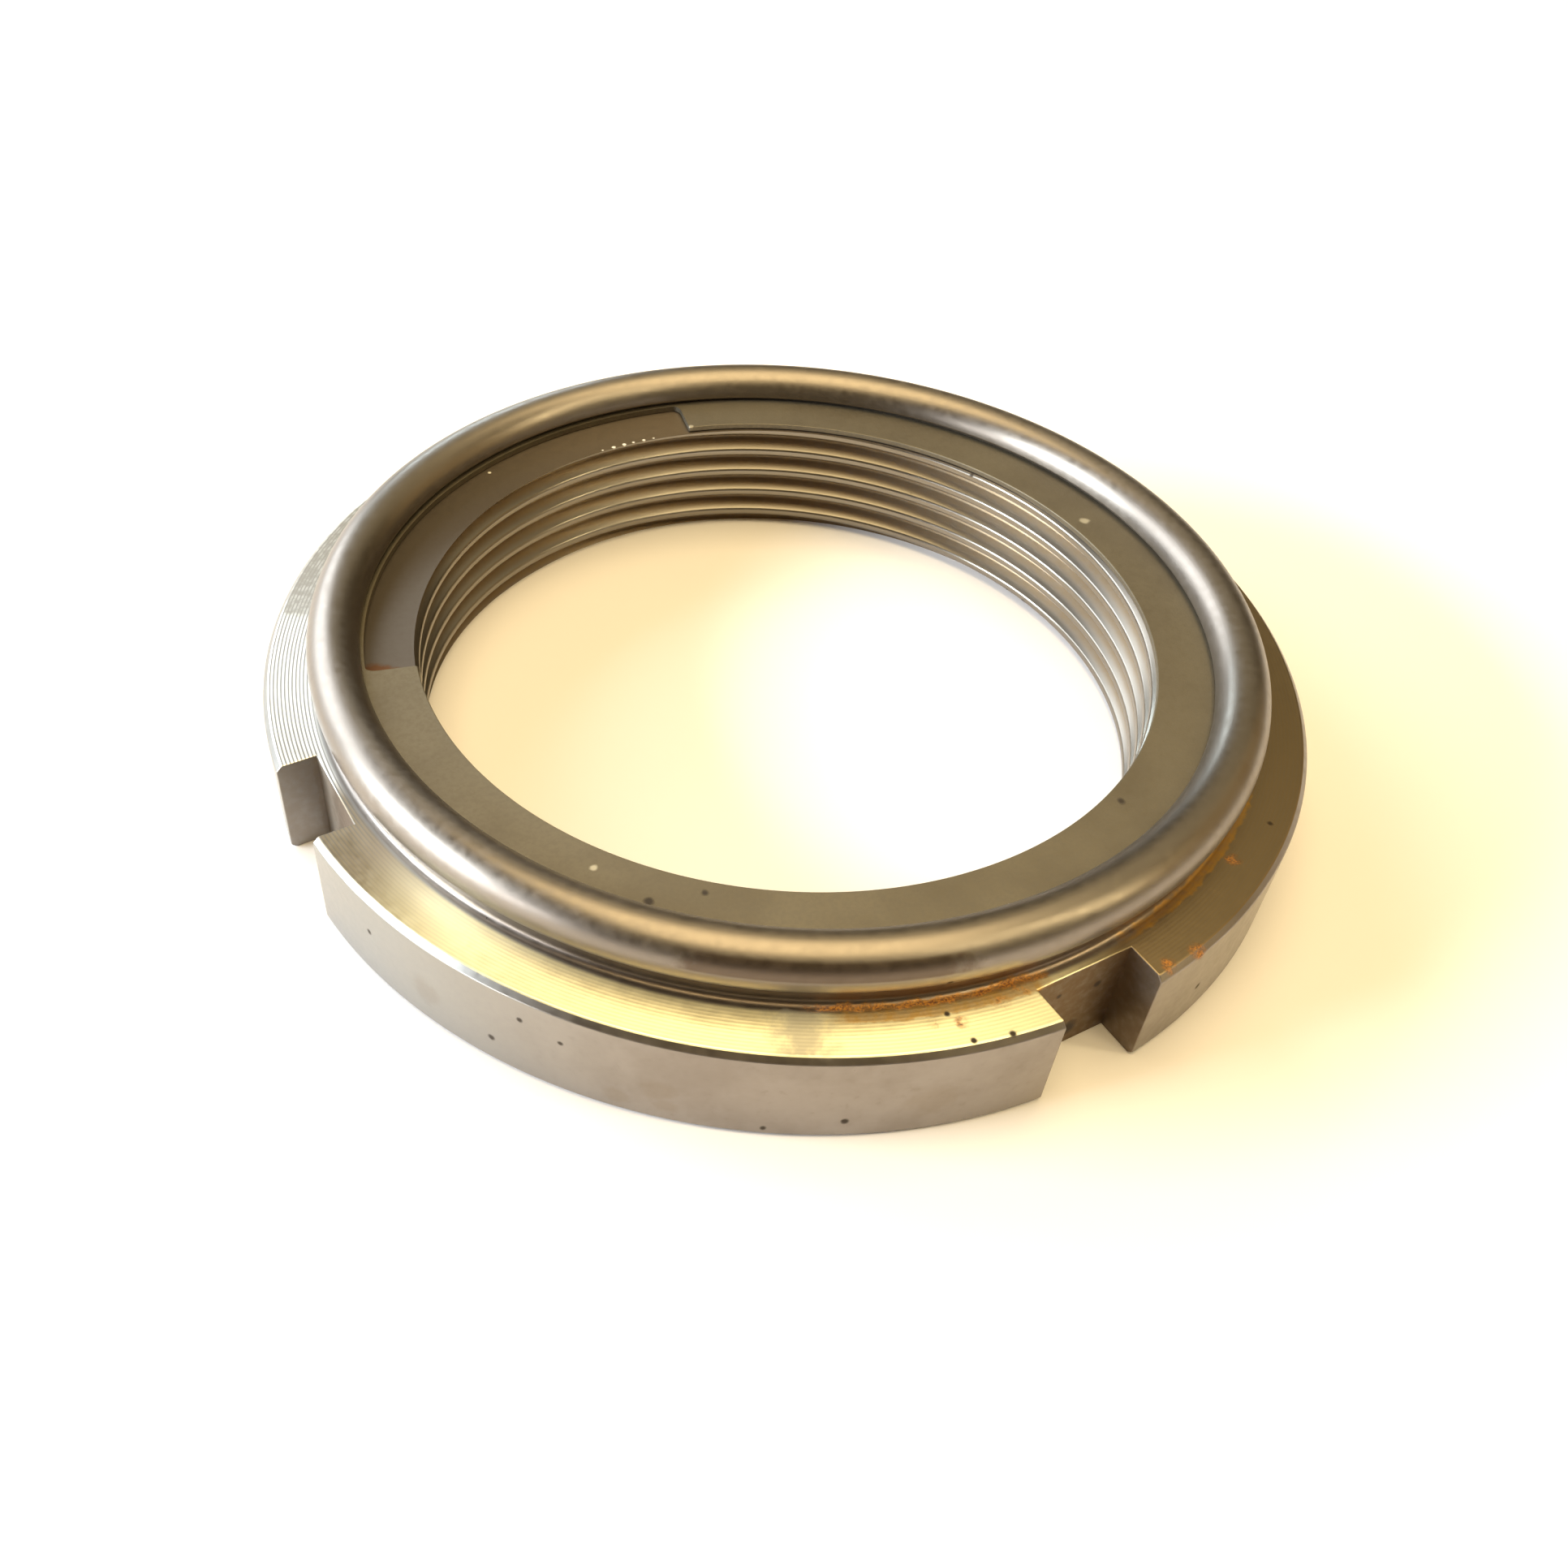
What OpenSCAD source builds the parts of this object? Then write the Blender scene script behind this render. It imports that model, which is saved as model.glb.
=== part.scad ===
// Slotted round nut with a sheet locking ring held under a rolled lip.
// Sizes in millimetres. +Z runs up the thread axis, the origin is the centre of the flange's flat face.

/* [Thread] */
// Nominal diameter of the thread
thread_d = 55; // [45:0.5:57]
// Pitch of the thread
thread_pitch = 2; // [1.5:0.5:3]
// Chamfer at the lower mouth of the bore
mouth_chamfer = 0.4; // [0.1:0.1:1]
// Edge break at the upper end of the bore
bore_edge_break = 0.3; // [0.05:0.05:0.5]

/* [Flange] */
// Outside diameter of the flange
flange_d = 75; // [73:0.5:85]
// Height of the flange
flange_h = 7.7; // [6:0.1:8]
// Chamfer on the upper outside edge
upper_chamfer = 0.4; // [0.1:0.1:1]
// Chamfer on the lower outside edge
lower_chamfer = 0.3; // [0.1:0.1:1]

/* [Spanner slots] */
// Width of each slot
slot_w = 7.2; // [5:0.1:9]
// Depth of each slot from the outside of the flange
slot_depth = 3; // [2:0.1:3.1]

/* [Collar and lip] */
// Wall of the collar outside the locking ring
collar_wall = 0.9; // [0.7:0.05:1.5]
// Fillet where the collar meets the flange
collar_fillet = 0.6; // [0.2:0.1:0.6]
// Radius of the rolled lip's round section
lip_r = 1.85; // [1.5:0.05:1.95]
// Rise of the lip above the locking ring
lip_rise = 2.2; // [1.9:0.05:2.5]
// Reach of the lip over the locking ring
lip_reach = 2.05; // [1.8:0.05:2.15]
// Undercut at the lip's inner edge, where it meets the ring
lip_undercut = 0.35; // [0.1:0.05:0.5]

/* [Locking ring] */
// Height of the shoulder that carries the ring
shoulder_z = 9.4; // [9:0.05:10]
// Sheet thickness of the ring
ring_t = 0.5; // [0.4:0.05:0.8]
// Width of the ring from its inside to its outside
ring_w = 5.78; // [4.5:0.01:6]
// Radial clearance round the ring in its seat
ring_fit = 0.05; // [0.02:0.01:0.1]
// Distance that the ring stands back from the bore wall
ring_setback = 0.2; // [0.1:0.01:0.6]
// Edge break on the ring's upper inside edge
ring_edge_break = 0.12; // [0.05:0.01:0.2]
// Radius of the ring's two free corners
ring_corner_r = 0.4; // [0.2:0.05:0.8]

/* [Ring window] */
// Angle at which the window starts
window_start = 75.7; // [60:0.1:90]
// Angle that the window spans
window_angle = 89.5; // [60:0.5:120]
// Width of the strip left outside the window
window_strip = 2.2; // [1.8:0.05:2.6]
// Radius of the window's two inside corners
window_corner_r = 0.8; // [0.3:0.05:1]

/* [Hidden] */
$fn = 96;
slot_count = 4;
slot_step = 360 / slot_count;
// Depth of an internal 60 degree thread for each millimetre of pitch
thread_depth_ratio = 0.54127;
bore_r = thread_d / 2 - thread_depth_ratio * thread_pitch;
flange_r = flange_d / 2;
ring_bore_r = bore_r + ring_setback;
ring_r = ring_bore_r + ring_w;
ring_top = shoulder_z + ring_t;
seat_r = ring_r + ring_fit;
collar_r = seat_r + collar_wall;
lip_inner_r = seat_r - lip_reach;
lip_mid_r = lip_inner_r + lip_r;
lip_mid_z = ring_top + lip_rise - lip_r;
window_r = ring_r - window_strip;
window_end = window_start + window_angle;
// Cutters run past the faces that they cut by this much
cut_margin = 1;
// Corner shapes run past the edge that they meet by this angle
corner_overlap = 1;
// A rounded corner meets its sides at this angle
corner_meet = 15;
corner_share = cos(corner_meet);

// A point at a given radius and angle
function polar(radius, angle) = [radius * cos(angle), radius * sin(angle)];

// The round lip, cut away where the ring lies under it and undercut at its inner edge
module lip_section() {
    difference() {
        translate([lip_mid_r, lip_mid_z]) circle(r = lip_r);
        square([seat_r, ring_top]);
        polygon([
            [lip_inner_r - cut_margin, ring_top + lip_undercut + cut_margin],
            [lip_inner_r - cut_margin, ring_top - cut_margin],
            [lip_inner_r + lip_undercut + cut_margin, ring_top - cut_margin]
        ]);
    }
}

// Half of the body's section, from the bore to the flange's outside
module body_section() {
    polygon([
        [bore_r, mouth_chamfer],
        [bore_r + mouth_chamfer, 0],
        [flange_r - lower_chamfer, 0],
        [flange_r, lower_chamfer],
        [flange_r, flange_h - upper_chamfer],
        [flange_r - upper_chamfer, flange_h],
        [collar_r, flange_h],
        [collar_r, lip_mid_z],
        [seat_r, lip_mid_z],
        [seat_r, shoulder_z],
        [bore_r + bore_edge_break, shoulder_z],
        [bore_r, shoulder_z - bore_edge_break]
    ]);
    lip_section();
    difference() {
        translate([collar_r, flange_h]) square(collar_fillet);
        translate([collar_r + collar_fillet, flange_h + collar_fillet]) circle(r = collar_fillet);
    }
}

// One slot that a hook spanner's tooth drops into
module slot_cut() {
    translate([flange_r - slot_depth, -slot_w / 2, -cut_margin])
        cube([slot_depth + cut_margin, slot_w, flange_h + 2 * cut_margin]);
}

module nut_body() {
    color([0.52, 0.48, 0.43])
    difference() {
        rotate_extrude() body_section();
        for (i = [0 : slot_count - 1]) rotate([0, 0, i * slot_step]) slot_cut();
    }
}

// A wedge about the axis, longer than the ring is wide
module wedge(from_angle, to_angle) {
    polygon([
        [0, 0],
        polar(2 * ring_r, from_angle),
        polar(2 * ring_r, (from_angle + to_angle) / 2),
        polar(2 * ring_r, to_angle)
    ]);
}

// The window taken out of the ring, with its two inside corners rounded
module window_outline() {
    mid_r = window_r - corner_share * window_corner_r;
    inset = asin(corner_share * window_corner_r / mid_r);
    intersection() {
        circle(r = window_r);
        wedge(window_start, window_end);
        union() {
            wedge(window_start + inset, window_end - inset);
            circle(r = mid_r * cos(inset));
            translate(polar(mid_r, window_start + inset)) circle(r = window_corner_r);
            translate(polar(mid_r, window_end - inset)) circle(r = window_corner_r);
        }
    }
}

// Metal taken off a free corner of the ring; side is -1 at the window's start and 1 at its end
module free_corner(edge_angle, side) {
    mid_r = ring_bore_r + corner_share * ring_corner_r;
    mid_angle = edge_angle + side * asin(corner_share * ring_corner_r / mid_r);
    foot = mid_r * cos(mid_angle - edge_angle);
    difference() {
        polygon([
            polar(foot, edge_angle),
            polar(mid_r, mid_angle),
            polar(ring_bore_r - ring_t, mid_angle),
            polar(ring_bore_r - ring_t, edge_angle - side * corner_overlap),
            polar(foot, edge_angle - side * corner_overlap)
        ]);
        translate(polar(mid_r, mid_angle)) circle(r = ring_corner_r);
    }
}

module ring_outline() {
    difference() {
        circle(r = ring_r);
        circle(r = ring_bore_r);
        window_outline();
        free_corner(window_start, -1);
        free_corner(window_end, 1);
    }
}

module locking_ring() {
    color([0.5, 0.45, 0.35])
    translate([0, 0, shoulder_z])
    difference() {
        linear_extrude(height = ring_t) ring_outline();
        translate([0, 0, ring_t - ring_edge_break])
            cylinder(r1 = ring_bore_r, r2 = ring_bore_r + ring_edge_break, h = ring_edge_break);
    }
}

nut_body();
locking_ring();
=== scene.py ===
import math
import bmesh
import bpy
from mathutils import Matrix, Vector


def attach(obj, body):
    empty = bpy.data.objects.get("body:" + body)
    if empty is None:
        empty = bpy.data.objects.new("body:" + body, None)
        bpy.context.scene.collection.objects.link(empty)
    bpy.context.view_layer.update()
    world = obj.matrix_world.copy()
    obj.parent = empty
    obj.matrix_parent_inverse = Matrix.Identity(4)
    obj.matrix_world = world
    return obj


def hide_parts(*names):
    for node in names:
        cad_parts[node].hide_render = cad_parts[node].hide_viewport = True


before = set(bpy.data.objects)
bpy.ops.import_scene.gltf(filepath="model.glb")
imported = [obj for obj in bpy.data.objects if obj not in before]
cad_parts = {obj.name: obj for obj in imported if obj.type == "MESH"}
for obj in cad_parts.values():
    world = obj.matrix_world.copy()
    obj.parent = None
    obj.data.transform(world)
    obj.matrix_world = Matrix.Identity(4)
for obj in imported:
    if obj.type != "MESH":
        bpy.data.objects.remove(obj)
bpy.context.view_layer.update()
print("frame loaded:", sorted(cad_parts))

mm = 0.001  # shapes are drawn in millimetres and scaled to metres once


# drawing helpers: a pen walks round a section in the XZ plane

def penDown(bm, radius, height):
    return bm.verts.new((radius, 0, height))


def lineTo(bm, pen, radius, height):
    tip = bmesh.ops.extrude_vert_indiv(bm, verts=[pen])["verts"][0]
    tip.co = (radius, 0, height)
    return tip


def vertsOf(parts):
    return [part for part in parts if isinstance(part, bmesh.types.BMVert)]


def arcTo(bm, pen, centreRadius, centreHeight, degrees, steps):
    swept = bmesh.ops.spin(bm, geom=[pen], cent=(centreRadius, 0, centreHeight), axis=(0, -1, 0),
                           angle=math.radians(degrees), steps=steps, dvec=(0, 0, 0))
    return vertsOf(swept["geom_last"])[0]


def roundCorners(bm, corners, size, segments=2):
    bmesh.ops.bevel(bm, geom=corners, offset=size, affect="VERTICES", segments=segments,
                    profile=0.5, material=-1)


def turnSection(bm, steps):
    bmesh.ops.spin(bm, geom=bm.verts[:] + bm.edges[:], cent=(0, 0, 0), axis=(0, 0, 1),
                   angle=math.tau, steps=steps, dvec=(0, 0, 0), use_merge=True)


def cleanUp(bm, nearby=0.0005):
    bmesh.ops.remove_doubles(bm, verts=bm.verts[:], dist=nearby)
    bmesh.ops.recalc_face_normals(bm, faces=bm.faces[:])


def polar(vert):
    return math.hypot(vert.co.x, vert.co.y), math.degrees(math.atan2(vert.co.y, vert.co.x)) % 360


def toMesh(bm, name):
    mesh = bpy.data.meshes.new(name)
    bm.to_mesh(mesh)
    bm.free()
    return mesh


def cutMesh(mesh, cutterMesh):
    # both meshes in millimetres; the cut result comes back as a fresh bmesh
    piece = bpy.data.objects.new("cutPiece", mesh)
    cutter = bpy.data.objects.new("cutTool", cutterMesh)
    for item in (piece, cutter):
        bpy.context.scene.collection.objects.link(item)
    cut = piece.modifiers.new("cut", "BOOLEAN")
    cut.operation = "DIFFERENCE"
    cut.solver = "EXACT"
    cut.object = cutter
    bpy.context.view_layer.update()
    result = piece.evaluated_get(bpy.context.evaluated_depsgraph_get())
    bm = bmesh.new()
    bm.from_mesh(result.to_mesh())
    result.to_mesh_clear()
    for item in (piece, cutter):
        bpy.data.objects.remove(item)
    return bm


def finishPiece(bm, name, node, material, sharpAngle):
    bmesh.ops.scale(bm, vec=(mm, mm, mm), verts=bm.verts[:])
    mesh = toMesh(bm, name)
    mesh.polygons.foreach_set("use_smooth", [True] * len(mesh.polygons))
    mesh.set_sharp_from_angle(angle=math.radians(sharpAngle))
    mesh.materials.append(material)
    piece = bpy.data.objects.new(name, mesh)
    bpy.context.scene.collection.objects.link(piece)
    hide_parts(node)
    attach(piece, "root")
    print(name, "faces:", len(mesh.polygons))


# material helpers

def newMaterial(name):
    material = bpy.data.materials.new(name)
    material.use_nodes = True
    return material, material.node_tree, material.node_tree.nodes["Principled BSDF"]


def plug(tree, socket, value):
    if isinstance(value, bpy.types.NodeSocket):
        tree.links.new(value, socket)
    else:
        socket.default_value = value


def sums(tree, operation, first, second=0.0, clamp=False):
    node = tree.nodes.new("ShaderNodeMath")
    node.operation = operation
    node.use_clamp = clamp
    plug(tree, node.inputs[0], first)
    plug(tree, node.inputs[1], second)
    return node.outputs[0]


def times(tree, *factors):
    total = factors[0]
    for factor in factors[1:]:
        total = sums(tree, "MULTIPLY", total, factor)
    return total


def most(tree, *masks):
    total = masks[0]
    for mask in masks[1:]:
        total = sums(tree, "MAXIMUM", total, mask)
    return total


def fade(tree, value, start, end, low=0.0, high=1.0):
    node = tree.nodes.new("ShaderNodeMapRange")
    node.interpolation_type = "SMOOTHSTEP"
    plug(tree, node.inputs["Value"], value)
    plug(tree, node.inputs["From Min"], start)
    plug(tree, node.inputs["From Max"], end)
    plug(tree, node.inputs["To Min"], low)
    plug(tree, node.inputs["To Max"], high)
    return node.outputs["Result"]


def band(tree, value, low, high, soft):
    return times(tree, fade(tree, value, low - soft, low), fade(tree, value, high + soft, high))


def grain(tree, where, scale, detail=3.0, rough=0.55):
    node = tree.nodes.new("ShaderNodeTexNoise")
    plug(tree, node.inputs["Vector"], where)
    node.inputs["Scale"].default_value = scale
    node.inputs["Detail"].default_value = detail
    node.inputs["Roughness"].default_value = rough
    return node.outputs["Fac"]


def lines(tree, along, scale, detail=2.0):
    node = tree.nodes.new("ShaderNodeTexNoise")
    node.noise_dimensions = "1D"
    plug(tree, node.inputs["W"], along)
    node.inputs["Scale"].default_value = scale
    node.inputs["Detail"].default_value = detail
    return node.outputs["Fac"]


def tint(tree, amount, under, over):
    # a mix node's colour sockets are its inputs 6 and 7 and its output 2
    node = tree.nodes.new("ShaderNodeMix")
    node.data_type = "RGBA"
    plug(tree, node.inputs[0], amount)
    plug(tree, node.inputs[6], under)
    plug(tree, node.inputs[7], over)
    return node.outputs[2]


def mixed(tree, amount, under, over):
    # a mix node's number sockets are its inputs 2 and 3 and its output 0
    node = tree.nodes.new("ShaderNodeMix")
    node.data_type = "FLOAT"
    plug(tree, node.inputs[0], amount)
    plug(tree, node.inputs[2], under)
    plug(tree, node.inputs[3], over)
    return node.outputs[0]


def vectorSums(tree, operation, first, second):
    node = tree.nodes.new("ShaderNodeVectorMath")
    node.operation = operation
    plug(tree, node.inputs[0], first)
    plug(tree, node.inputs[1], second)
    return node.outputs


class Place:
    # where a point of the piece is: millimetres, radius, height and turn in degrees from +X
    def __init__(self, tree):
        coords = tree.nodes.new("ShaderNodeTexCoord")
        self.point = vectorSums(tree, "MULTIPLY", coords.outputs["Object"], (1 / mm, 1 / mm, 1 / mm))[0]
        split = tree.nodes.new("ShaderNodeSeparateXYZ")
        tree.links.new(self.point, split.inputs[0])
        self.x, self.y, self.height = split.outputs
        flat = vectorSums(tree, "MULTIPLY", self.point, (1, 1, 0))[0]
        self.radius = vectorSums(tree, "LENGTH", flat, (0, 0, 0))["Value"]
        turn = times(tree, sums(tree, "ARCTAN2", self.y, self.x), math.degrees(1))
        self.turn = sums(tree, "MODULO", sums(tree, "ADD", turn, 360), 360)
        # along the turning marks, for a sheen that runs across them
        self.grooves = vectorSums(tree, "CROSS_PRODUCT", (0, 0, 1), self.point)[0]
        self.wobble = sums(tree, "SUBTRACT", grain(tree, self.point, 1.1, 4.0), 0.5)


def spots(tree, place, marks):
    # one soft mask for all the marks of a kind: (radius, turn, height, size)
    solidShare = 0.35  # of a mark's size; past it the mark fades out
    total = None
    for radius, turn, height, size in marks:
        angle = math.radians(turn)
        centre = (radius * math.cos(angle), radius * math.sin(angle), height)
        gap = vectorSums(tree, "DISTANCE", place.point, centre)["Value"]
        away = sums(tree, "ADD", gap, times(tree, place.wobble, size))
        mask = fade(tree, away, size * solidShare, size, 1.0, 0.0)
        total = mask if total is None else most(tree, total, mask)
    return total


smearEdge = {"radiusWobble": 0.7, "turnWobble": 6.0, "radiusSoft": 0.25, "heightSoft": 0.2, "turnSoft": 4.0}


def smears(tree, place, marks):
    # stains that run along the turning: (radius from, to, height from, to, turn from, to)
    reach = sums(tree, "ADD", place.radius, times(tree, place.wobble, smearEdge["radiusWobble"]))
    sweep = sums(tree, "ADD", place.turn, times(tree, place.wobble, smearEdge["turnWobble"]))
    total = None
    for innerRadius, outerRadius, low, high, turnFrom, turnTo in marks:
        mask = times(tree, band(tree, reach, innerRadius, outerRadius, smearEdge["radiusSoft"]),
                     band(tree, place.height, low, high, smearEdge["heightSoft"]),
                     band(tree, sweep, turnFrom, turnTo, smearEdge["turnSoft"]))
        total = mask if total is None else most(tree, total, mask)
    return total


def bump(tree, shader, height):
    # the height is in millimetres
    node = tree.nodes.new("ShaderNodeBump")
    node.inputs["Strength"].default_value = 1.0
    node.inputs["Distance"].default_value = mm
    plug(tree, node.inputs["Height"], height)
    tree.links.new(node.outputs["Normal"], shader.inputs["Normal"])


# turned steel of the body

bodyFinish = {
    "steel": (0.315, 0.282, 0.257, 1),
    "darkSteel": (0.252, 0.22, 0.194, 1),
    # painted reflection: a paler, cooler steel for the body's left side, where it mirrors the window-lit
    # floor
    "litLeftSteel": (0.35, 0.348, 0.338, 1),
    # the ledge's colours round the turn: a painted window reflection at the left, a painted gold highlight in
    # front, painted shade at the right
    "glareLeftLedge": (0.96, 0.95, 0.92, 1),
    "khakiLedge": (0.37, 0.315, 0.235, 1),
    "brightSteelAndHighlight": (1.0, 0.95, 0.68, 1),
    "shadedRightLedge": (0.30, 0.228, 0.138, 1),
    "lip": (0.272, 0.240, 0.212, 1),
    "bore": (0.275, 0.25, 0.22, 1),
    # painted shade of the ledge's feed grooves
    "feedGrooveShade": (0.24, 0.235, 0.225, 1),
    "shoulder": (0.157, 0.126, 0.098, 1),
    "groove": (0.27, 0.20, 0.125, 1),
    "slot": (0.30, 0.262, 0.23, 1),
    "brownSlot": (0.19, 0.13, 0.075, 1),
    # painted shade in the crease under the lip bead
    "neckShade": (0.17, 0.12, 0.09, 1),
    "mottle": (0.38, 0.365, 0.34, 1),
    # dark brown: a painted reflection of the dim room on the lip's front below its highlight, and real dirt
    # on the left slot's floor
    "darkDirtAndReflection": (0.13, 0.095, 0.07, 1),
    "amber": (0.66, 0.36, 0.065, 1),
    "rust": (0.55, 0.22, 0.03, 1),
    "brownRust": (0.18, 0.07, 0.02, 1),
    "stain": (0.20, 0.15, 0.095, 1),
    "soot": (0.035, 0.022, 0.012, 1),
    # painted highlight: glints of small burrs catching the lamp
    "burrGlint": (0.9, 0.87, 0.8, 1),
    "roughWall": 0.33, "roughLedge": 0.36, "roughLip": 0.36, "roughShoulder": 0.50, "roughBore": 0.28,
    "roughGrain": 0.22, "roughDirt": 0.2,  # how far the grain and the dirt change the roughness
    "sheen": 0.55,  # how far highlights stretch across the turning marks
    "ledgeFeed": 0.26, "ledgeDepth": 0.0012, "turningDepth": 0.0020, "grainDepth": 0.0004,
    # where each face lies: two values are a fade's start and end, three a band's ends and their softness
    "ledgeHeight": (7.66, 7.74, 0.03), "ledgeRadius": (33.9, 34.2),
    "lipHeight": (8.6, 9.0), "lipRadius": (30.2, 30.35),
    "shoulderHeight": (9.37, 9.43, 0.02), "shoulderRadius": (30.5, 30.3),
    "boreRadius": (27.7, 27.6), "boreHeight": (9.38, 9.34), "grooveRadius": (26.55, 27.15),
    "slotHalfWidth": (3.64, 3.58), "slotRadius": (33.9, 34.3), "slotHeight": (7.69, 7.6),
    "neckRadius": (33.2, 33.8, 0.15), "neckHeight": (7.8, 8.7, 0.25),
    # turns between which one colour gives way to the next; the feed lines also have two amounts
    "litLeftTurn": (232, 196), "khakiTurn": (178, 182), "highlightTurn": (190, 207), "shadedRightTurn": (266, 276),
    "brownSlotTurn": (200, 250), "feedTurn": (178, 198, 0.9, 0.10),
    # how the grain breaks up a colour: grain from and to, amount from and to
    "clouds": (0.35, 0.7, 0.0, 0.75), "fineDirt": (0.6, 0.75, 0.0, 0.35),
    "grooveGrain": (0.3, 0.6, 0.75, 0.95), "slotGrain": (0.25, 0.6, 0.6, 0.95),
    "mottleGrain": (0.35, 0.6, 0.7, 0.95),
    "amberGrain": (0.3, 0.7, 0.5, 0.8), "rustLineGrain": (0.3, 0.55, 0.35, 1.0),
    "rustGrain": (0.35, 0.6, 0.1, 0.9), "brownRustGrain": (0.4, 0.62),
    # how strongly each kind of mark shows
    "stainAmount": 0.22, "shoulderAmount": 0.95, "slotShadeAmount": 0.35, "darkDirtAndReflectionAmount": 0.8,
    "neckShadeAmount": 0.6, "smearAmount": 0.75, "brownAmount": 0.85,
    # radius, turn, height and size of each mark
    "rustMarks": [
        (34.1, 262.5, 7.7, 0.9), (34.8, 260.0, 7.7, 0.7), (35.5, 255.3, 7.7, 0.6), (35.3, 252.6, 7.7, 0.5),
        (35.0, 294.2, 7.7, 0.7), (36.9, 277.2, 7.7, 0.7), (37.2, 281.0, 7.6, 0.8), (34.6, 185.0, 2.6, 0.6),
    ],
    "brownMarks": [
        (29.6, 163.9, 9.4, 1.1), (28.9, 164.3, 9.4, 0.9), (28.2, 164.7, 9.4, 0.7), (34.6, 186.0, 1.2, 0.9),
    ],
    "stains": [
        (37.5, 227.7, 2.95, 1.5), (37.5, 223.9, 1.5, 1.0), (37.5, 228.5, 1.7, 1.0), (37.5, 252.7, 3.2, 2.2),
        (37.5, 203.0, 3.0, 1.6), (37.5, 286.0, 4.6, 0.8), (33.5, 300.0, 11.2, 1.6), (33.2, 308.0, 11.6, 1.4),
    ],
    "specks": [
        (34.8, 254.3, 7.7, 0.3), (37.0, 259.3, 7.7, 0.33), (36.9, 255.6, 7.7, 0.25),
        (35.9, 301.7, 7.7, 0.28), (37.5, 211.0, 2.35, 0.33), (37.5, 195.2, 4.5, 0.3),
        (37.5, 214.3, 5.55, 0.28), (37.5, 218.4, 4.9, 0.25), (37.5, 244.8, 1.75, 0.3),
        (37.5, 237.5, 0.8, 0.28), (37.5, 283.7, 3.0, 0.35), (26.5, 9.9, 0.7, 0.3),
        (26.5, 5.8, 0.7, 0.3), (26.5, 342.5, 3.65, 0.35), (26.5, 336.1, 2.1, 0.4),
        (26.5, 332.5, 1.9, 0.3), (26.5, 33.0, 5.7, 0.3), (26.5, 22.1, 9.3, 0.25),
        (26.5, 84.4, 7.9, 0.25), (34.0, 254.6, 9.5, 0.3), (34.5, 270.6, 1.5, 0.9),
        (34.5, 272.8, 5.2, 0.4), (34.5, 267.6, 5.8, 0.3),
    ],
    # painted glints of burrs on the shoulder, catching the lamp
    "burrGlints": [
        (26.55, 82.6, 9.4, 0.16), (26.55, 84.5, 9.4, 0.2), (26.55, 86.6, 9.4, 0.17),
        (26.55, 88.4, 9.4, 0.2), (26.55, 90.6, 9.4, 0.22), (26.55, 92.8, 9.4, 0.14),
        (29.7, 112.0, 9.4, 0.2),
    ],
    # radius from and to, height from and to, turn from and to
    "rustLines": [(33.7, 33.85, 7.6, 8.05, 243, 263)],
    "amberLines": [(33.7, 34.7, 7.6, 8.1, 246, 263), (33.7, 34.15, 7.6, 8.1, 279, 303)],
    # the first smear is a painted reflection on the lip's front, the second is dirt on the left slot's floor
    "darkDirtAndReflections": [(33.35, 34.2, 10.55, 11.5, 230, 254), (34.35, 34.8, 2.5, 7.5, 181, 188)],
    "slotShades": [(34.3, 34.9, 0.5, 7.5, 174, 188)],
    "ledgeSmear": [(34.0, 37.0, 7.6, 7.8, 239.7, 240.6)],
    "mottled": [(34.4, 37.3, 7.6, 7.8, 126, 147)],
}


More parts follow.
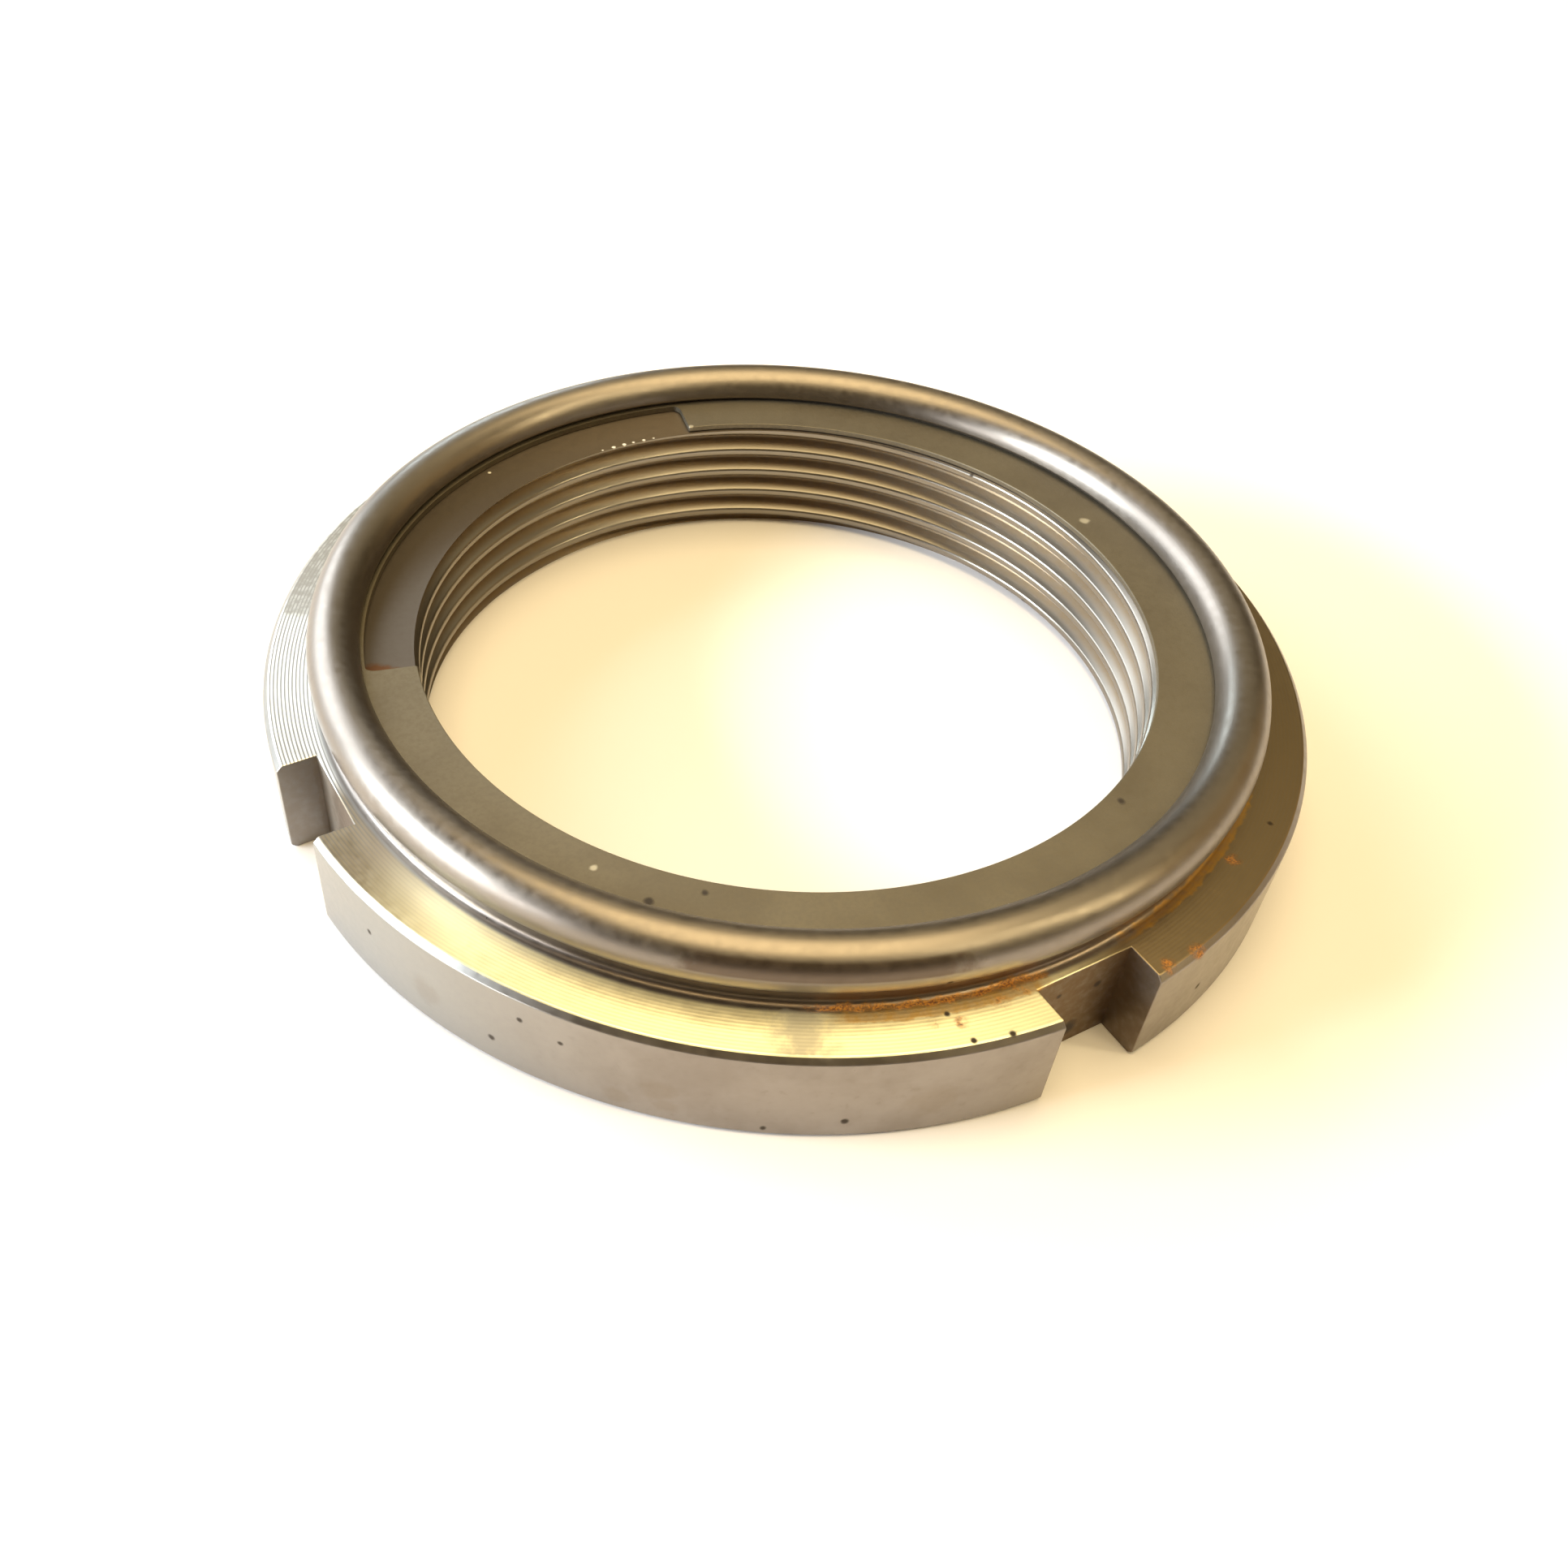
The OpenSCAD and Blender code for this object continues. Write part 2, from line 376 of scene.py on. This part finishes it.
def bodySteel(look):
    material, tree, shader = newMaterial("bodySteel")
    place = Place(tree)
    radius, height = place.radius, place.height
    cloudy = grain(tree, place.point, 0.2, 4.0)
    fine = grain(tree, place.point, 1.6, 4.0)
    grit = grain(tree, place.point, 7.0, 2.0)

    onLedge = times(tree, band(tree, height, *look["ledgeHeight"]), fade(tree, radius, *look["ledgeRadius"]))
    onLip = times(tree, fade(tree, height, *look["lipHeight"]), fade(tree, radius, *look["lipRadius"]))
    onShoulder = times(tree, band(tree, height, *look["shoulderHeight"]),
                       fade(tree, radius, *look["shoulderRadius"]))
    inBore = times(tree, fade(tree, radius, *look["boreRadius"]), fade(tree, height, *look["boreHeight"]))
    inGroove = times(tree, inBore, fade(tree, radius, *look["grooveRadius"]))
    across = sums(tree, "MINIMUM", sums(tree, "ABSOLUTE", place.x), sums(tree, "ABSOLUTE", place.y))
    inSlot = times(tree, fade(tree, across, *look["slotHalfWidth"]), fade(tree, radius, *look["slotRadius"]),
                   fade(tree, height, *look["slotHeight"]))
    # where the crease between the lip bead and the ledge lies, darkened below as painted shade
    shadedNeck = times(tree, band(tree, radius, *look["neckRadius"]), band(tree, height, *look["neckHeight"]))

    colour = tint(tree, fade(tree, cloudy, *look["clouds"]), look["steel"], look["darkSteel"])
    colour = tint(tree, fade(tree, fine, *look["fineDirt"]), colour, look["darkSteel"])
    # painted reflection: paler steel on the left side of the body
    colour = tint(tree, fade(tree, place.turn, *look["litLeftTurn"]), colour, look["litLeftSteel"])
    colour = tint(tree, onLip, colour, look["lip"])
    colour = tint(tree, inBore, colour, look["bore"])
    # round the ledge: pale at the left, a painted reflection of the window; a khaki patch past the slot;
    # bright gold in front, the turned steel's own brightness with a painted highlight of the ceiling lamp on
    # top; darker and browner at the right, painted shade where the ledge mirrors the dim room
    ledgeSteelAndGlare = tint(tree, fade(tree, place.turn, *look["khakiTurn"]), look["glareLeftLedge"], look["khakiLedge"])
    ledgeSteelAndGlare = tint(tree, fade(tree, place.turn, *look["highlightTurn"]), ledgeSteelAndGlare, look["brightSteelAndHighlight"])
    ledgeSteelAndGlare = tint(tree, fade(tree, place.turn, *look["shadedRightTurn"]), ledgeSteelAndGlare, look["shadedRightLedge"])
    colour = tint(tree, onLedge, colour, ledgeSteelAndGlare)
    feed = sums(tree, "SINE", times(tree, radius, math.tau / look["ledgeFeed"]))
    # the feed marks are real turning grooves; their dark lines are painted shade, strong at the left where
    # the window glare shows them and faint elsewhere
    feedShade = times(tree, onLedge, fade(tree, feed, -0.2, 0.9), fade(tree, place.turn, *look["feedTurn"]))
    colour = tint(tree, feedShade, colour, look["feedGrooveShade"])
    stains = times(tree, spots(tree, place, look["stains"]), look["stainAmount"])
    colour = tint(tree, stains, colour, look["stain"])
    colour = tint(tree, times(tree, onShoulder, look["shoulderAmount"]), colour, look["shoulder"])
    colour = tint(tree, times(tree, inGroove, fade(tree, fine, *look["grooveGrain"])), colour, look["groove"])
    slotSteel = tint(tree, fade(tree, place.turn, *look["brownSlotTurn"]), look["slot"], look["brownSlot"])
    colour = tint(tree, times(tree, inSlot, fade(tree, fine, *look["slotGrain"])), colour, slotSteel)
    slotShades = times(tree, smears(tree, place, look["slotShades"]), inSlot, look["slotShadeAmount"])
    colour = tint(tree, slotShades, colour, look["stain"])
    # painted reflection of the dim room on the front of the lip, and dirt on the left slot's floor
    darkDirtAndReflections = times(tree, smears(tree, place, look["darkDirtAndReflections"]), look["darkDirtAndReflectionAmount"])
    colour = tint(tree, darkDirtAndReflections, colour, look["darkDirtAndReflection"])
    # painted shade: the neck under the lip bead is darkened as the crease that lies in shadow
    colour = tint(tree, times(tree, shadedNeck, look["neckShadeAmount"]), colour, look["neckShade"])
    mottled = times(tree, smears(tree, place, look["mottled"]), fade(tree, fine, *look["mottleGrain"]))
    ledgeSmear = times(tree, smears(tree, place, look["ledgeSmear"]), look["smearAmount"])
    ledgeDirt = most(tree, ledgeSmear, mottled)
    colour = tint(tree, ledgeDirt, colour, look["mottle"])
    amber = times(tree, smears(tree, place, look["amberLines"]), fade(tree, fine, *look["amberGrain"]))
    colour = tint(tree, amber, colour, look["amber"])
    rustLine = times(tree, smears(tree, place, look["rustLines"]), fade(tree, fine, *look["rustLineGrain"]))
    rustPatch = times(tree, spots(tree, place, look["rustMarks"]), fade(tree, fine, *look["rustGrain"]))
    rust = most(tree, rustLine, rustPatch)
    rustColour = tint(tree, fade(tree, grit, *look["brownRustGrain"]), look["rust"], look["brownRust"])
    colour = tint(tree, rust, colour, rustColour)
    brownMarks = times(tree, spots(tree, place, look["brownMarks"]), look["brownAmount"])
    colour = tint(tree, brownMarks, colour, look["brownRust"])
    specks = spots(tree, place, look["specks"])
    colour = tint(tree, specks, colour, look["soot"])
    # painted highlight: white glints of burrs on the shoulder's edge
    burrGlints = spots(tree, place, look["burrGlints"])
    colour = tint(tree, burrGlints, colour, look["burrGlint"])
    tree.links.new(colour, shader.inputs["Base Color"])

    dirt = most(tree, rust, specks)
    plug(tree, shader.inputs["Metallic"], fade(tree, most(tree, dirt, burrGlints), 0.2, 1.0, 1.0, 0.3))
    rough = mixed(tree, onLedge, look["roughWall"], look["roughLedge"])
    rough = mixed(tree, onLip, rough, look["roughLip"])
    rough = mixed(tree, onShoulder, rough, look["roughShoulder"])
    rough = mixed(tree, inBore, rough, look["roughBore"])
    onTurned = sums(tree, "SUBTRACT", 1.0, inBore)
    uneven = times(tree, sums(tree, "SUBTRACT", fine, 0.5), onTurned, look["roughGrain"])
    rough = sums(tree, "ADD", rough, uneven)
    dull = most(tree, dirt, ledgeDirt, inGroove, inSlot)
    rough = sums(tree, "ADD", rough, times(tree, dull, look["roughDirt"]), clamp=True)
    plug(tree, shader.inputs["Roughness"], rough)
    shader.inputs["Anisotropic"].default_value = look["sheen"]
    shader.inputs["Anisotropic Rotation"].default_value = 0.25
    tree.links.new(place.grooves, shader.inputs["Tangent"])

    turning = lines(tree, sums(tree, "ADD", radius, height), 3.4, 2.0)
    relief = times(tree, feed, onLedge, look["ledgeDepth"])
    relief = sums(tree, "ADD", relief, times(tree, turning, look["turningDepth"]))
    relief = sums(tree, "ADD", relief, times(tree, fine, look["grainDepth"]))
    relief = times(tree, relief, onTurned)
    bump(tree, shader, relief)
    return material


# the nut's body: a turned section, a right-hand thread in the bore and four spanner slots

bodyShape = {
    "flangeRadius": 37.5, "flangeHeight": 7.7, "upperChamfer": 0.4, "lowerChamfer": 0.3,
    "collarRadius": 33.347, "collarFillet": 0.45,
    "lipRadius": 1.85, "lipInner": 30.397, "lipTop": 12.1, "lipUndercut": 0.35,
    "seatRadius": 32.447, "ringTop": 9.9, "shoulderHeight": 9.4,
    "innerRadius": 28.6,  # where the turned faces meet the faces round the thread
    "edgeSoftness": 0.08, "neckSoftness": 0.15, "neckSteps": 3,
    "filletSteps": 12, "lipSteps": 48, "turnSteps": 360,
    "turnOffset": 0.24,  # keeps the mesh's radial edges off the slots' corners
    "slotWidth": 7.2, "slotDepth": 3.0, "slotCount": 4, "slotEdge": 0.07,
    "slotCorner": 0.6,  # edges that turn by more than this, in radians, are softened
    "cutterLength": 2.0, "cutterHeight": 1.2,  # shares of the slot's depth and of the flange's height
    "sharpAngle": 10, "levelMargin": 0.001, "slotMargin": 0.01,
}
threadShape = {
    "minorRadius": 26.417, "majorRadius": 27.5, "pitch": 2.0,
    "crestWidth": 0.5, "rootWidth": 0.25, "firstCrest": 0.68,  # height of a crest's lower edge on +X
    "turnsBelow": 2, "turnsAbove": 7, "edgeSoftness": 0.14, "edgeSteps": 6,
    "mouthChamfer": 0.4,
}


def threadWall(shape, top, steps):
    bm = bmesh.new()
    flank = (shape["pitch"] - shape["crestWidth"] - shape["rootWidth"]) / 2
    height = shape["firstCrest"] - shape["turnsBelow"] * shape["pitch"]
    pen = penDown(bm, shape["minorRadius"], height)
    for turn in range(shape["turnsBelow"] + shape["turnsAbove"]):
        for radius, rise in [(shape["minorRadius"], shape["crestWidth"]), (shape["majorRadius"], flank),
                             (shape["majorRadius"], shape["rootWidth"]), (shape["minorRadius"], flank)]:
            height += rise
            pen = lineTo(bm, pen, radius, height)
    corners = [vert for vert in bm.verts if len(vert.link_edges) == 2]
    roundCorners(bm, corners, shape["edgeSoftness"], shape["edgeSteps"])
    bmesh.ops.spin(bm, geom=bm.verts[:] + bm.edges[:], cent=(0, 0, 0), axis=(0, 0, 1), angle=math.tau,
                   steps=steps, dvec=(0, 0, shape["pitch"] / steps))
    cleanUp(bm)
    for level, side in [(0, (0, 0, -1)), (top, (0, 0, 1))]:
        bmesh.ops.bisect_plane(bm, geom=bm.verts[:] + bm.edges[:] + bm.faces[:], dist=1e-5,
                               plane_co=(0, 0, level), plane_no=side, clear_outer=True)
    # a cone opens the lower mouth
    bmesh.ops.bisect_plane(bm, geom=bm.verts[:] + bm.edges[:] + bm.faces[:], dist=1e-5,
                           plane_co=(0, 0, shape["mouthChamfer"]), plane_no=(0, 0, 1))
    for vert in bm.verts:
        radius, _ = polar(vert)
        cone = shape["minorRadius"] + shape["mouthChamfer"] - vert.co.z
        if radius < cone:
            vert.co.x *= cone / radius
            vert.co.y *= cone / radius
    return bm


def slotTools(shape):
    bm = bmesh.new()
    length = shape["slotDepth"] * shape["cutterLength"]
    tall = shape["flangeHeight"] * shape["cutterHeight"]
    floor = shape["flangeRadius"] - shape["slotDepth"]
    for index in range(shape["slotCount"]):
        made = bmesh.ops.create_cube(bm, size=1.0)["verts"]
        bmesh.ops.scale(bm, vec=(length, shape["slotWidth"], tall), verts=made)
        bmesh.ops.translate(bm, vec=(floor + length / 2, 0, shape["flangeHeight"] / 2), verts=made)
        bmesh.ops.rotate(bm, cent=(0, 0, 0), verts=made,
                         matrix=Matrix.Rotation(math.tau * index / shape["slotCount"], 3, "Z"))
    return toMesh(bm, "slotTools")


def makeBody(shape, thread, material):
    bm = bmesh.new()
    flange, top = shape["flangeRadius"], shape["flangeHeight"]
    collar, fillet = shape["collarRadius"], shape["collarFillet"]
    lip, undercut = shape["lipRadius"], shape["lipUndercut"]
    lipMiddle, lipHeight = shape["lipInner"] + lip, shape["lipTop"] - lip
    pen = penDown(bm, shape["innerRadius"], 0)
    softCorners = []
    for radius, height in [(flange - shape["lowerChamfer"], 0), (flange, shape["lowerChamfer"]),
                           (flange, top - shape["upperChamfer"]), (flange - shape["upperChamfer"], top)]:
        pen = lineTo(bm, pen, radius, height)
        softCorners.append(pen)
    pen = lineTo(bm, pen, collar + fillet, top)
    pen = arcTo(bm, pen, collar + fillet, top + fillet, -90, shape["filletSteps"])
    # up the neck to the round lip, over it and down to its undercut edge on the ring
    dip = math.acos((collar - lipMiddle) / lip)
    neckTop = lineTo(bm, pen, collar, lipHeight - lip * math.sin(dip))
    pen = arcTo(bm, neckTop, lipMiddle, lipHeight, 180 + math.degrees(dip), shape["lipSteps"])
    softCorners.append(pen)
    pen = lineTo(bm, pen, shape["lipInner"] + undercut, shape["ringTop"])
    pen = lineTo(bm, pen, shape["seatRadius"], shape["ringTop"])
    pen = lineTo(bm, pen, shape["seatRadius"], shape["shoulderHeight"])
    pen = lineTo(bm, pen, shape["innerRadius"], shape["shoulderHeight"])
    roundCorners(bm, softCorners, shape["edgeSoftness"])
    roundCorners(bm, [neckTop], shape["neckSoftness"], shape["neckSteps"])
    bmesh.ops.rotate(bm, cent=(0, 0, 0), verts=bm.verts[:],
                     matrix=Matrix.Rotation(math.radians(shape["turnOffset"]), 3, "Z"))
    turnSection(bm, shape["turnSteps"])
    wall = threadWall(thread, shape["shoulderHeight"], shape["turnSteps"])
    wallMesh = toMesh(wall, "threadWall")
    bm.from_mesh(wallMesh)
    bpy.data.meshes.remove(wallMesh)
    # flat faces close the gap between the turned shell and the thread, below and above
    for level, side in [(0, (0, 0, -1)), (shape["shoulderHeight"], (0, 0, 1))]:
        rim = [edge for edge in bm.edges if edge.is_boundary
               and all(abs(vert.co.z - level) < shape["levelMargin"] for vert in edge.verts)]
        bmesh.ops.triangle_fill(bm, edges=rim, normal=side, use_beauty=True)
    cleanUp(bm)
    print("body open edges:", len([edge for edge in bm.edges if not edge.is_manifold]))
    bm = cutMesh(toMesh(bm, "bodyBlank"), slotTools(shape))
    floor = flange - shape["slotDepth"]
    half = shape["slotWidth"] / 2

    def inSlot(vert):
        far = max(abs(vert.co.x), abs(vert.co.y))
        near = min(abs(vert.co.x), abs(vert.co.y))
        return far > floor - shape["slotMargin"] and near < half + shape["slotMargin"]

    slotEdges = [edge for edge in bm.edges if edge.is_manifold and edge.is_convex
                 and edge.calc_face_angle() > shape["slotCorner"]
                 and all(inSlot(vert) for vert in edge.verts)]
    bmesh.ops.bevel(bm, geom=slotEdges, offset=shape["slotEdge"], affect="EDGES", segments=2,
                    profile=0.5, material=-1, clamp_overlap=True)
    cleanUp(bm, 0.0001)
    finishPiece(bm, "turnedBody", "nut_body", material, shape["sharpAngle"])


makeBody(bodyShape, threadShape, bodySteel(bodyFinish))


# dull sheet steel of the locking ring

ringFinish = {
    "sheet": (0.208, 0.182, 0.137, 1),
    "worn": (0.178, 0.154, 0.116, 1),
    "soot": (0.03, 0.02, 0.012, 1),
    "paleAndGlint": (0.75, 0.70, 0.58, 1),
    "rough": (0.54, 0.62),
    "specks": [(29.3, 222.3, 9.9, 0.4), (27.6, 228.3, 9.9, 0.35), (27.6, 290.0, 9.9, 0.35)],
    # pale marks on the sheet; the one at the window's free end, turn 75.3, is a painted glint on the ring's
    # end edge
    "paleMarksAndGlint": [(28.2, 214.0, 9.9, 0.35), (28.0, 0.0, 9.9, 0.5), (26.8, 75.3, 9.85, 0.25)],
    "grainDepth": 0.0008,
}


def ringSteel(look):
    material, tree, shader = newMaterial("ringSteel")
    place = Place(tree)
    cloudy = grain(tree, place.point, 0.16, 4.0)
    fine = grain(tree, place.point, 3.0, 3.0)
    colour = tint(tree, fade(tree, cloudy, 0.35, 0.7), look["sheet"], look["worn"])
    colour = tint(tree, times(tree, fade(tree, fine, 0.4, 0.7), 0.3), colour, look["worn"])
    # pale marks, and a painted glint at the window's free end
    paleAndGlint = spots(tree, place, look["paleMarksAndGlint"])
    colour = tint(tree, times(tree, paleAndGlint, 0.6), colour, look["paleAndGlint"])
    specks = spots(tree, place, look["specks"])
    colour = tint(tree, specks, colour, look["soot"])
    tree.links.new(colour, shader.inputs["Base Color"])
    plug(tree, shader.inputs["Metallic"], fade(tree, specks, 0.2, 1.0, 1.0, 0.2))
    plug(tree, shader.inputs["Roughness"], fade(tree, fine, 0.3, 0.7, look["rough"][0], look["rough"][1]))
    bump(tree, shader, times(tree, fine, look["grainDepth"]))
    return material


# the locking ring: a flat sheet ring with a window of about a quarter turn

ringShape = {
    "boreRadius": 26.617, "outerRadius": 32.397, "bottom": 9.45, "top": 9.885,
    "edge": 0.07, "turnSteps": 360, "sharpAngle": 10,
    "windowRadius": 30.197, "windowStart": 75.7, "windowEnd": 165.2, "windowSteps": 96,
    "windowCorner": 0.85, "windowCornerSteps": 8, "freeCorner": 0.4, "freeCornerSteps": 5,
    "toolInset": 2.0, "toolDrop": 1.0, "toolHeight": 3.0,  # the window's cutter runs past the sheet
    "cornerReach": 0.1, "cornerTurn": 0.2, "uprightRise": 0.01,  # how the free corners' edges are found
}


def windowTool(shape):
    bm = bmesh.new()
    first = penDown(bm, shape["windowRadius"], shape["bottom"] - shape["toolDrop"])
    bmesh.ops.rotate(bm, cent=(0, 0, 0), verts=[first],
                     matrix=Matrix.Rotation(math.radians(shape["windowStart"]), 3, "Z"))
    swept = bmesh.ops.spin(bm, geom=[first], cent=(0, 0, 0), axis=(0, 0, 1), dvec=(0, 0, 0),
                           angle=math.radians(shape["windowEnd"] - shape["windowStart"]),
                           steps=shape["windowSteps"])
    last = vertsOf(swept["geom_last"])[0]
    share = (shape["boreRadius"] - shape["toolInset"]) / shape["windowRadius"]
    tips = []
    for end in (last, first):
        tip = bmesh.ops.extrude_vert_indiv(bm, verts=[end])["verts"][0]
        tip.co = (end.co.x * share, end.co.y * share, end.co.z)
        tips.append(tip)
    bm.edges.new(tips)
    bmesh.ops.contextual_create(bm, geom=bm.edges[:])
    roundCorners(bm, [first, last], shape["windowCorner"], shape["windowCornerSteps"])
    grown = bmesh.ops.extrude_face_region(bm, geom=bm.faces[:])["geom"]
    bmesh.ops.translate(bm, vec=(0, 0, shape["toolHeight"]), verts=vertsOf(grown))
    cleanUp(bm)
    return toMesh(bm, "windowTool")


def makeRing(shape, material):
    bm = bmesh.new()
    pen = penDown(bm, shape["boreRadius"], shape["bottom"])
    first = pen
    for radius, height in [(shape["outerRadius"], shape["bottom"]), (shape["outerRadius"], shape["top"]),
                           (shape["boreRadius"], shape["top"])]:
        pen = lineTo(bm, pen, radius, height)
    bm.edges.new((pen, first))
    roundCorners(bm, bm.verts[:], shape["edge"])
    turnSection(bm, shape["turnSteps"])
    cleanUp(bm)
    bm = cutMesh(toMesh(bm, "ringBlank"), windowTool(shape))
    cleanUp(bm, 0.0001)

    def isFreeCorner(edge):
        places = [polar(vert) for vert in edge.verts]
        upright = abs(edge.verts[0].co.z - edge.verts[1].co.z) > shape["uprightRise"]
        inner = all(radius < shape["boreRadius"] + shape["cornerReach"] for radius, turn in places)
        ends = (shape["windowStart"], shape["windowEnd"])
        atEnd = all(min(abs(turn - end) for end in ends) < shape["cornerTurn"] for radius, turn in places)
        return upright and inner and atEnd

    corners = [edge for edge in bm.edges if isFreeCorner(edge)]
    bmesh.ops.bevel(bm, geom=corners, offset=shape["freeCorner"], affect="EDGES",
                    segments=shape["freeCornerSteps"], profile=0.5, material=-1, clamp_overlap=True)
    finishPiece(bm, "sheetRing", "locking_ring", material, shape["sharpAngle"])


makeRing(ringShape, ringSteel(ringFinish))


# camera at the photograph's place

viewPlace = {
    "heading": 54.3,  # direction on plan from the camera to the nut's axis, from +X
    "distance": 87.09, "height": 76.71, "nearest": 5.0,
    "yaw": -5.88, "pitch": 45.61, "roll": 2.15,
    "focalPixels": 1836.98, "imagePixels": 1932, "centrePixel": (805.2, 1012.5), "sensor": 36.0,
}


def makeCamera(place):
    heading = math.radians(place["heading"])
    aim = heading - math.radians(place["yaw"])
    tilt = math.radians(place["pitch"])
    spot = Vector((-math.cos(heading) * place["distance"], -math.sin(heading) * place["distance"],
                   place["height"]))
    forward = Vector((math.cos(aim) * math.cos(tilt), math.sin(aim) * math.cos(tilt), -math.sin(tilt)))
    right = Vector((math.sin(aim), -math.cos(aim), 0))
    up = right.cross(forward)
    roll = math.radians(place["roll"])
    acrossAxis = right * math.cos(roll) + up * math.sin(roll)
    upAxis = up * math.cos(roll) - right * math.sin(roll)
    data = bpy.data.cameras.new("photoCamera")
    data.sensor_width = place["sensor"]
    data.lens = place["focalPixels"] * place["sensor"] / place["imagePixels"]
    middle = place["imagePixels"] / 2
    data.shift_x = (middle - place["centrePixel"][0]) / place["imagePixels"]
    data.shift_y = (place["centrePixel"][1] - middle) / place["imagePixels"]
    data.clip_start = place["nearest"] * mm
    camera = bpy.data.objects.new("photoCamera", data)
    turn = Matrix((acrossAxis, upAxis, -forward)).transposed()
    camera.matrix_world = Matrix.Translation(spot * mm) @ turn.to_4x4()
    bpy.context.scene.collection.objects.link(camera)
    bpy.context.scene.camera = camera


makeCamera(viewPlace)
print("camera set")


# pale paper floor

floorLook = {"size": 3.0, "paper": (0.92, 0.89, 0.905, 1), "rough": 0.9, "shine": 0.1}


def makeFloor(look):
    bm = bmesh.new()
    bmesh.ops.create_grid(bm, x_segments=1, y_segments=1, size=look["size"] / 2)
    material, _, shader = newMaterial("palePaper")
    shader.inputs["Base Color"].default_value = look["paper"]
    shader.inputs["Roughness"].default_value = look["rough"]
    shader.inputs["Specular IOR Level"].default_value = look["shine"]
    mesh = toMesh(bm, "paperFloor")
    mesh.materials.append(material)
    floor = bpy.data.objects.new("paperFloor", mesh)
    bpy.context.scene.collection.objects.link(floor)


makeFloor(floorLook)


# soft studio light: sides are measured from the camera's line of sight, left is positive

studio = {
    "room": ((0.095, 0.066, 0.032, 1), 1.0),
    "lamps": [
        {"name": "ceilingLamp", "side": -82, "rise": 89, "away": 0.60, "size": (0.60, 0.48), "power": 3.65,
         "colour": (1.0, 0.785, 0.42)},
        {"name": "warmLamp", "side": -98, "rise": 44, "away": 0.60, "size": (0.05, 0.35), "power": 0.70,
         "colour": (1.0, 0.82, 0.46)},
        {"name": "sideLamp", "side": -124, "rise": 50, "away": 0.60, "size": (0.10, 0.10), "power": 0.32,
         "colour": (1.0, 0.82, 0.46)},
        {"name": "warmWall", "side": -75, "rise": 22, "away": 0.75, "size": (0.70, 0.40), "power": 0.42,
         "colour": (1.0, 0.66, 0.26)},
        {"name": "backWindow", "side": 57, "rise": 24, "away": 1.1, "size": (0.88, 0.62), "power": 9.6,
         "colour": (0.88, 0.95, 1.0)},
        {"name": "leftWindow", "side": 104, "rise": 21, "away": 1.1, "size": (0.54, 0.15), "power": 17.6,
         "colour": (0.86, 0.95, 1.0)},
        {"name": "backCeiling", "side": -15, "rise": 50, "away": 1.0, "size": (1.5, 0.6), "power": 1.2,
         "colour": (1.0, 0.85, 0.51)},
        {"name": "leftSky", "side": 128, "rise": 6, "away": 1.1, "size": (0.5, 0.3), "power": 3.6,
         "colour": (0.95, 0.98, 1.0)},
        {"name": "farWindow", "side": 20, "rise": 17, "away": 1.1, "size": (0.28, 0.10), "power": 1.3,
         "colour": (0.78, 0.93, 1.0)},
    ],
}


def makeLights(setup, heading):
    world = bpy.data.worlds.new("softRoom")
    world.use_nodes = True
    colour, strength = setup["room"]
    world.node_tree.nodes["Background"].inputs["Color"].default_value = colour
    world.node_tree.nodes["Background"].inputs["Strength"].default_value = strength
    bpy.context.scene.world = world
    for lamp in setup["lamps"]:
        light = bpy.data.lights.new(lamp["name"], "AREA")
        light.shape = "RECTANGLE"
        light.size, light.size_y = lamp["size"]
        light.energy = lamp["power"]
        light.color = lamp["colour"]
        holder = bpy.data.objects.new(lamp["name"], light)
        turn = math.radians(heading + lamp["side"])
        rise = math.radians(lamp["rise"])
        way = Vector((math.cos(turn) * math.cos(rise), math.sin(turn) * math.cos(rise), math.sin(rise)))
        holder.location = way * lamp["away"]
        holder.rotation_euler = way.to_track_quat("Z", "Y").to_euler()
        holder.visible_camera = False
        bpy.context.scene.collection.objects.link(holder)


makeLights(studio, viewPlace["heading"])
bpy.context.scene.view_settings.view_transform = "Standard"
print("lights set")
